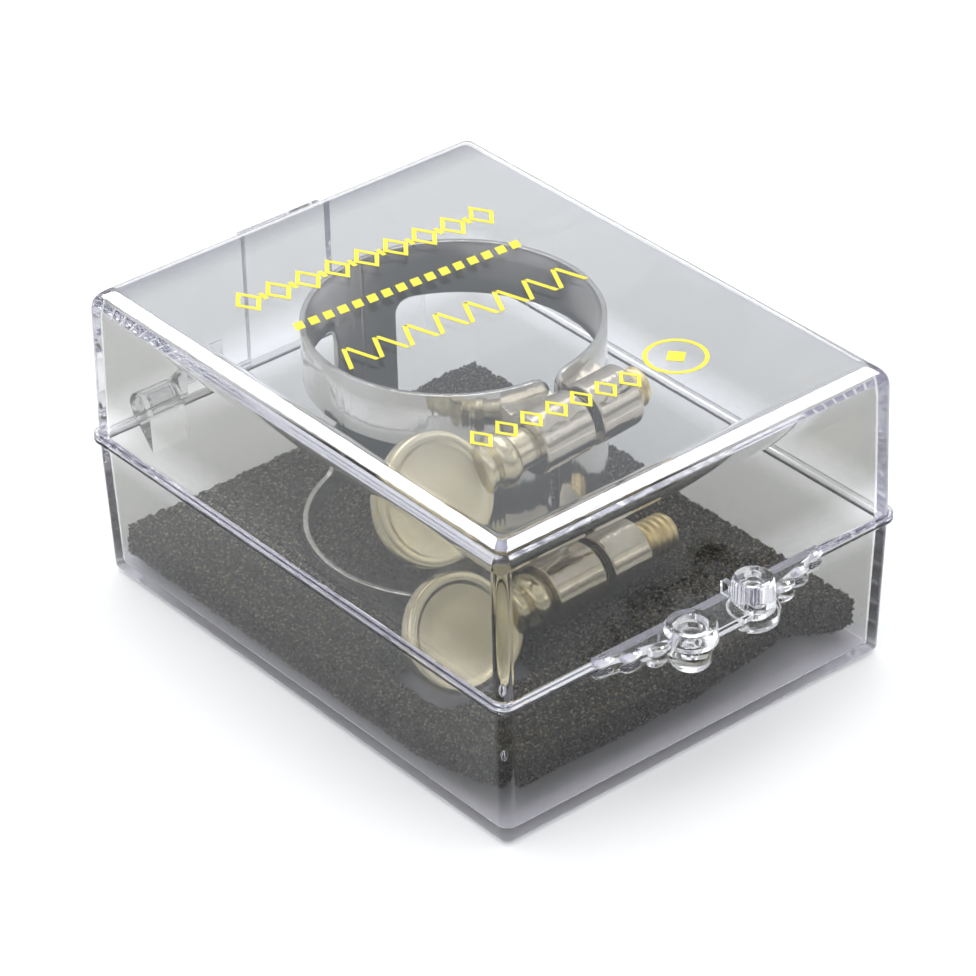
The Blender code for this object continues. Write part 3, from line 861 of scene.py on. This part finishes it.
def half_columns(start, end, window, step=1.5):
    """Angles of one half of the band, with extra ones in its window's rounded corners."""
    corner = math.degrees(WINDOW_R / BAND_R)
    angles = set()
    for i in range(9):
        turn = corner * (1.0 - math.cos(math.radians(90.0 * i / 8)))
        angles.add(round(window[0] + turn, 4))
        angles.add(round(window[1] - turn, 4))
    spans = ((start, window[0]), (window[0] + corner, window[1] - corner), (window[1], end))
    for a, b in spans:
        count = max(1, int(math.ceil((b - a) / step)))
        for i in range(count + 1):
            angles.add(round(a + (b - a) * i / count, 4))
    return sorted(angles)


def window_edge(a, window):
    """How far the window's corner rounding lifts its edge at an angle, in millimetres."""
    run = min(a - window[0], window[1] - a) * math.radians(1.0) * BAND_R
    if run >= WINDOW_R:
        return 0.0
    return WINDOW_R - math.sqrt(max(WINDOW_R ** 2 - (WINDOW_R - run) ** 2, 0.0))


def end_trim(a, slit_angle):
    """How far the band's corners round off next to its slit."""
    run = abs(a - slit_angle) * math.radians(1.0) * BAND_R
    if run >= BAND_CORNER_R:
        return 0.0
    return BAND_CORNER_R - math.sqrt(max(BAND_CORNER_R ** 2 - (BAND_CORNER_R - run) ** 2, 0.0))


def band_half(name, start, end, window, slit_angle):
    """One half of the band as a grid of quads with real thickness."""
    low, high = BAND_LOW.z, BAND_HIGH.z
    columns = half_columns(start, end, window)
    side = 1 if slit_angle == start else -1
    for i in range(1, 7):
        near = math.degrees(BAND_CORNER_R * (1 - math.cos(math.radians(15.0 * i))) / BAND_R)
        columns.append(round(slit_angle + side * near, 4))
    columns = sorted(set(columns))
    verts, faces = [], []
    rows = (3, 8, 3)
    count = sum(rows) + 1
    for a in columns:
        lift = window_edge(a, window) if window[0] <= a <= window[1] else WINDOW_R
        trim = end_trim(a, slit_angle)
        marks = (low + trim, WINDOW_Z[0] + lift, WINDOW_Z[1] - lift, high - trim)
        heights = [marks[0]]
        for k, parts in enumerate(rows):
            heights += [marks[k] + (marks[k + 1] - marks[k]) * (i + 1) / parts for i in range(parts)]
        angle = math.radians(a)
        for r in (BAND_R, BAND_R - BAND_T):
            verts += [(BAND_X + r * math.cos(angle), BAND_Y + r * math.sin(angle), z) for z in heights]
    stride = 2 * count
    solid = {}
    for c in range(len(columns) - 1):
        middle = (columns[c] + columns[c + 1]) / 2
        open_here = window[0] < middle < window[1]
        for k in range(count - 1):
            solid[(c, k)] = not (open_here and rows[0] <= k < rows[0] + rows[1])
    for (c, k), filled in solid.items():
        if not filled:
            continue
        o, i = c * stride + k, c * stride + count + k
        faces.append((o, o + stride, o + stride + 1, o + 1))
        faces.append((i, i + 1, i + stride + 1, i + stride))
        if not solid.get((c, k - 1), False):
            faces.append((o, i, i + stride, o + stride))
        if not solid.get((c, k + 1), False):
            faces.append((o + 1, o + stride + 1, i + stride + 1, i + 1))
        if not solid.get((c - 1, k), False):
            faces.append((o, o + 1, i + 1, i))
        if not solid.get((c + 1, k), False):
            faces.append((o + stride, i + stride, i + stride + 1, o + stride + 1))
    half = new_object(name, verts, faces)
    bevel(half, 0.10, 2, 50.0)
    return half


def line_inside(half, mat):
    """Give the band's inner face a darker, rougher copy of the metal; its darker colour is painted shade
    inside the ring.
    """
    half.data.materials.append(mat)
    for poly in half.data.polygons:
        out = Vector((poly.center.x - BAND_X * MM, poly.center.y - BAND_Y * MM, 0.0)).normalized()
        if poly.normal.dot(out) < -0.9:
            poly.material_index = 1


def make_band(mat, inside):
    """The band in two halves that meet at the back."""
    gap = math.degrees(BAND_SLIT / 2 / BAND_R)
    left = band_half("band_left", 90.0, 270.0 - gap, LEFT_WINDOW, 270.0 - gap)
    dress(left, mat, ROOT, ["ligature_band"], 30.0)
    right = band_half("band_right", -90.0 + gap, 90.0, RIGHT_WINDOW, -90.0 + gap)
    dress(right, mat, None, ["ligature_band"], 30.0)
    for half in (left, right):
        line_inside(half, inside)
    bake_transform(right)


def make_post(node, joint, body, mat):
    """Barrel post with rounded lips, a foot and its solder fillets to the band."""
    line = screw_line(joint)
    x0, x1 = span_on(node, line, POST_R)
    lip = POST_LIP_R
    outer = []
    for x, turn in ((x0 + lip, 1), (x1 - lip, -1)):
        for k in range(5):
            a = math.radians(90.0 * (k if turn > 0 else 4 - k) / 4)
            outer.append((x - turn * lip * math.cos(a), POST_R - lip + lip * math.sin(a)))
    post = new_object(node + "_body", *turned(outer, steps=96))
    side = [(0.0, -1.5), (0.0, 1.5)]
    reach = BAND_Y - BAND_R - line["y"] + 1.6
    for k in range(7):
        t = k / 6
        side.append((1.2 + (reach - 1.2) * t, 1.75 + 1.0 * t * t * t))
    flip = [(y, -z) for y, z in reversed(side[2:])]
    combine(post, side_prism(side + flip, x0 + 0.35, x1 - 0.35))
    to_line(post, line)
    saddle_r = BAND_R - BAND_T * 0.5
    saddle = ((line["z"] - 7.0, saddle_r), (line["z"] + 7.0, saddle_r))
    combine(post, upright(saddle, BAND_X, BAND_Y, 180), "DIFFERENCE")
    bore = ((x0 - 1.0, POST_BORE_R), (x1 + 1.0, POST_BORE_R))
    combine(post, turned(bore), "DIFFERENCE", line)
    dress(post, mat, body, [node], 32.0)
    weigh_normals(post)


def screw_profile(rim):
    """(x, radius) points of a screw head from its fork to the end of the bead."""
    points = [
        (rim - 1.2, 1.2), (rim - 1.1, 2.0), (rim - 0.8, 2.3), (rim - 0.35, 2.2), (rim - 0.2, 1.95),
        (rim - 0.05, 2.05), (rim + 0.15, 1.8), (rim + 0.4, 1.7), (rim + 0.55, 1.85),
    ]
    middle = rim + 1.6
    for k in range(9):
        a = math.radians(-62.0 + 124.0 * k / 8)
        points.append((middle + 1.15 * math.sin(a), BEAD_R - 1.15 + 1.15 * math.cos(a)))
    points.append((rim + BEAD_END, SHANK_R + 0.1))
    return points


def thread_loops(start, end):
    """Rolled thread as loops of points, its groove fading in over the first millimetre."""
    loops = []
    steps = int((end - start) / THREAD_PITCH * 10)
    for k in range(1, steps + 1):
        x = start + (end - start) * k / steps
        fade = min(1.0, x - start)
        ring = []
        for i in range(SHANK_STEPS):
            a = 2.0 * math.pi * i / SHANK_STEPS
            phase = (x / THREAD_PITCH - i / SHANK_STEPS) % 1.0
            groove = 0.5 + 0.5 * math.cos(2.0 * math.pi * phase)
            r = SHANK_R - THREAD_DEPTH * fade * groove ** 1.3
            ring.append((x, r * math.cos(a), r * math.sin(a)))
        loops.append(ring)
    return loops


def make_screw(prefix, joint, body, tilt, metal, thread, gap_shade_mat):
    """Thumb screw: head and bead, shank with a rolled thread, and its coin paddle."""
    line = screw_line(joint)
    paddle_low, paddle_high = box_mm(prefix + "_paddle")
    centre = ((paddle_low.x + paddle_high.x) / 2 - line["x"]) / math.cos(line["slope"])
    rim = centre + PADDLE_R
    bead = rim + BEAD_END
    tip = bead + SHANK_LENGTH
    post_end = span_on(prefix + "_plain_post", line, POST_R)[1]
    plain_end = span_on(prefix + "_threaded_post", line, POST_R)[0] - 0.5
    profile = screw_profile(rim) + [(bead + 0.05, SHANK_R), (post_end, SHANK_R), (plain_end, SHANK_R)]
    loops = [circle_x(x, r, steps=SHANK_STEPS) for x, r in profile]
    loops += thread_loops(plain_end, tip - 0.35)
    for x, r in ((tip - 0.1, SHANK_R - 0.42), (tip, SHANK_R - 0.6)):
        loops.append(circle_x(x, r, steps=SHANK_STEPS))
    screw = new_object(prefix + "_screw_body", *loft(loops))
    dress(screw, metal, None, [prefix + "_screw"], 45.0)
    screw.data.materials.append(thread)
    screw.data.materials.append(gap_shade_mat)
    # Painted shade: the shank in the gap between the posts gets the near-black gap material.
    for poly in screw.data.polygons:
        if post_end * MM < poly.center.x < (plain_end + 0.5) * MM:
            poly.material_index = 2
        elif poly.center.x > (plain_end + 0.05) * MM:
            poly.material_index = 1
    to_line(screw, line)
    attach(screw, body)
    make_paddle(prefix, line, centre, tilt, body, metal)


def make_paddle(prefix, line, centre, tilt, body, metal):
    """Coin with dished faces in a raised rounded rim, soldered into the screw's fork."""
    half, dish, inner = PADDLE_T / 2, PADDLE_T / 2 - PADDLE_DISH, PADDLE_R - PADDLE_RIM
    side = [
        (dish - 0.05, 0.6), (dish - 0.02, inner * 0.5), (dish, inner - 0.45), (dish + 0.05, inner - 0.25),
        (half - 0.08, inner - 0.08), (half, inner + 0.05), (half, PADDLE_R - 0.3),
        (half - 0.06, PADDLE_R - 0.12), (half - 0.18, PADDLE_R - 0.03), (half - 0.4, PADDLE_R),
    ]
    coin = new_object(prefix + "_coin", *upright(side + [(-h, r) for h, r in reversed(side)], 0.0, 0.0))
    stand = Matrix.Rotation(math.radians(-tilt), 4, "X") @ Matrix.Rotation(math.radians(90.0), 4, "X")
    coin.data.transform(Matrix.Translation((centre * MM, 0.0, 0.0)) @ stand)
    to_line(coin, line)
    dress(coin, metal, body, [prefix + "_paddle"], 40.0)
    weigh_normals(coin)


# ---------------------------------------------------------------- stage

def area_light(name, place, along, size, power):
    """A softbox that faces the object, its long side running along a direction."""
    lamp = bpy.data.lights.new(name, "AREA")
    lamp.shape = "RECTANGLE"
    lamp.size, lamp.size_y = size
    lamp.energy = power
    away = Vector(place).normalized()
    side = Vector(along) - away * Vector(along).dot(away)
    side.normalize()
    turn = Matrix((side, away.cross(side), away)).transposed().to_4x4()
    obj = bpy.data.objects.new(name, lamp)
    obj.matrix_world = Matrix.Translation(place) @ turn
    bpy.context.collection.objects.link(obj)
    return obj


def gloss_light(name, place, along, size, power, colour=(1.0, 1.0, 1.0)):
    """A light that only shows as a highlight on the lid."""
    obj = area_light(name, place, along, size, power)
    obj.data.color = colour
    obj.light_linking.receiver_collection = bpy.data.collections["lid_only"]
    obj.visible_diffuse = False
    obj.visible_transmission = False
    obj.visible_camera = False


def make_world():
    """Pale studio surround: brightest overhead, greyer towards the horizon."""
    world = bpy.data.worlds.new("studio")
    world.use_nodes = True
    tree = world.node_tree
    where = tree.nodes.new("ShaderNodeTexCoord")
    parts = tree.nodes.new("ShaderNodeSeparateXYZ")
    fade = tree.nodes.new("ShaderNodeValToRGB")
    fade.color_ramp.elements[0].color = (0.50, 0.50, 0.49, 1.0)
    fade.color_ramp.elements[1].position = 0.7
    fade.color_ramp.elements[1].color = (0.96, 0.985, 1.0, 1.0)
    tree.links.new(where.outputs["Generated"], parts.inputs[0])
    tree.links.new(parts.outputs["Z"], fade.inputs["Fac"])
    tree.links.new(fade.outputs["Color"], tree.nodes["Background"].inputs["Color"])
    tree.nodes["Background"].inputs["Strength"].default_value = 1.15
    bpy.context.scene.world = world


def make_stage():
    """Floor, surround, soft general lights, and strips that only the lid's edges show."""
    far = 3000
    corners = [(-far, -far, 0), (far, -far, 0), (far, far, 0), (-far, far, 0)]
    floor = new_object("floor", corners, [(0, 1, 2, 3)])
    floor.location.z = -0.05 * MM
    floor.data.materials.append(floor_material())
    make_world()
    area_light("overhead", (0.05, 0.12, 0.55), (0, 0, 1), (0.5, 0.4), 1.35)
    area_light("left_fill", (-0.6, -0.1, 0.35), (0, 0, 1), (0.35, 0.5), 0.45)
    area_light("right_fill", (0.5, -0.5, 0.3), (0, 0, 1), (0.3, 0.4), 0.35)
    lid_only = bpy.data.collections.new("lid_only")
    lid_only.objects.link(bpy.data.objects["lid_shell"])
    gloss_light("back_strip", (-0.10, 0.41, 0.42), (-0.84, 0.0, -0.20), (0.40, 0.20), 11.0)
    gloss_light("right_strip", (0.376, -0.13, 0.465), (0.0, -0.968, -0.28), (0.46, 0.22), 13.0)
    gloss_light("low_strip", (0.37, 0.46, 0.155), (0.78, -0.62, 0.0), (0.34, 0.24), 0.9)
    gloss_light("sky_panel", (0.42, 0.51, 0.44), (0.78, -0.62, 0.0), (0.50, 0.36), 0.55, (0.80, 0.90, 1.0))


def make_camera():
    """A long lens looking down on the case's clasp-side corner."""
    back = Vector((-0.5291, -0.6514, 0.5438)).normalized()
    right = Vector((0, 0, 1)).cross(back).normalized()
    up = back.cross(right)
    roll = math.radians(-1.431)
    across = math.cos(roll) * right + math.sin(roll) * up
    upward = -math.sin(roll) * right + math.cos(roll) * up
    place = Matrix((across, upward, back)).transposed().to_4x4()
    place.translation = Vector((-205.7, -253.4, 224.6)) * MM
    lens = bpy.data.cameras.new("camera")
    lens.sensor_width = 36.0
    lens.lens = 160.9
    lens.clip_start = 0.01
    camera = bpy.data.objects.new("camera", lens)
    camera.matrix_world = place
    bpy.context.collection.objects.link(camera)
    bpy.context.scene.camera = camera


def main():
    plastic = clear_plastic()
    plate = nickel("nickel_plate", (0.66, 0.65, 0.62), (0.52, 0.50, 0.45), 0.05, 0.12, 0.9)
    screw_metal = nickel("screw_nickel", (0.64, 0.585, 0.43), (0.58, 0.51, 0.31), 0.14, 0.26, 0.04)
    thread, gap_shade_mat = brass_thread(), gap_shade()
    post_metal = nickel("post_metal", (0.64, 0.59, 0.50), (0.48, 0.43, 0.33), 0.07, 0.16, 0.3)
    make_base(plastic)
    make_lid(plastic)
    make_print(print_ink())
    make_foam(foam_material())
    # Painted shade: a darker, rougher copy of the nickel for the band's inner face.
    inside = nickel("band_inside_shaded", (0.36, 0.35, 0.35), (0.22, 0.20, 0.18), 0.16, 0.30, 0.10)
    make_band(plate, inside)
    for place in ("upper", "lower"):
        joint = place + "_screw_turn"
        make_post(place + "_plain_post", joint, ROOT, post_metal)
        make_post(place + "_threaded_post", joint, FREE_END, post_metal)
    for place, tilt in (("upper", UPPER_TILT), ("lower", LOWER_TILT)):
        body = place + "_thumb_screw"
        make_screw(place, place + "_screw_turn", body, tilt, screw_metal, thread, gap_shade_mat)
    make_stage()
    make_camera()
    scene = bpy.context.scene
    scene.view_settings.view_transform = "Standard"
    scene.cycles.use_denoising = True
    scene.cycles.caustics_refractive = False
    scene.cycles.caustics_reflective = False
    scene.cycles.max_bounces = 64
    scene.cycles.glossy_bounces = 64
    scene.cycles.transmission_bounces = 64
    scene.cycles.transparent_max_bounces = 24


main()
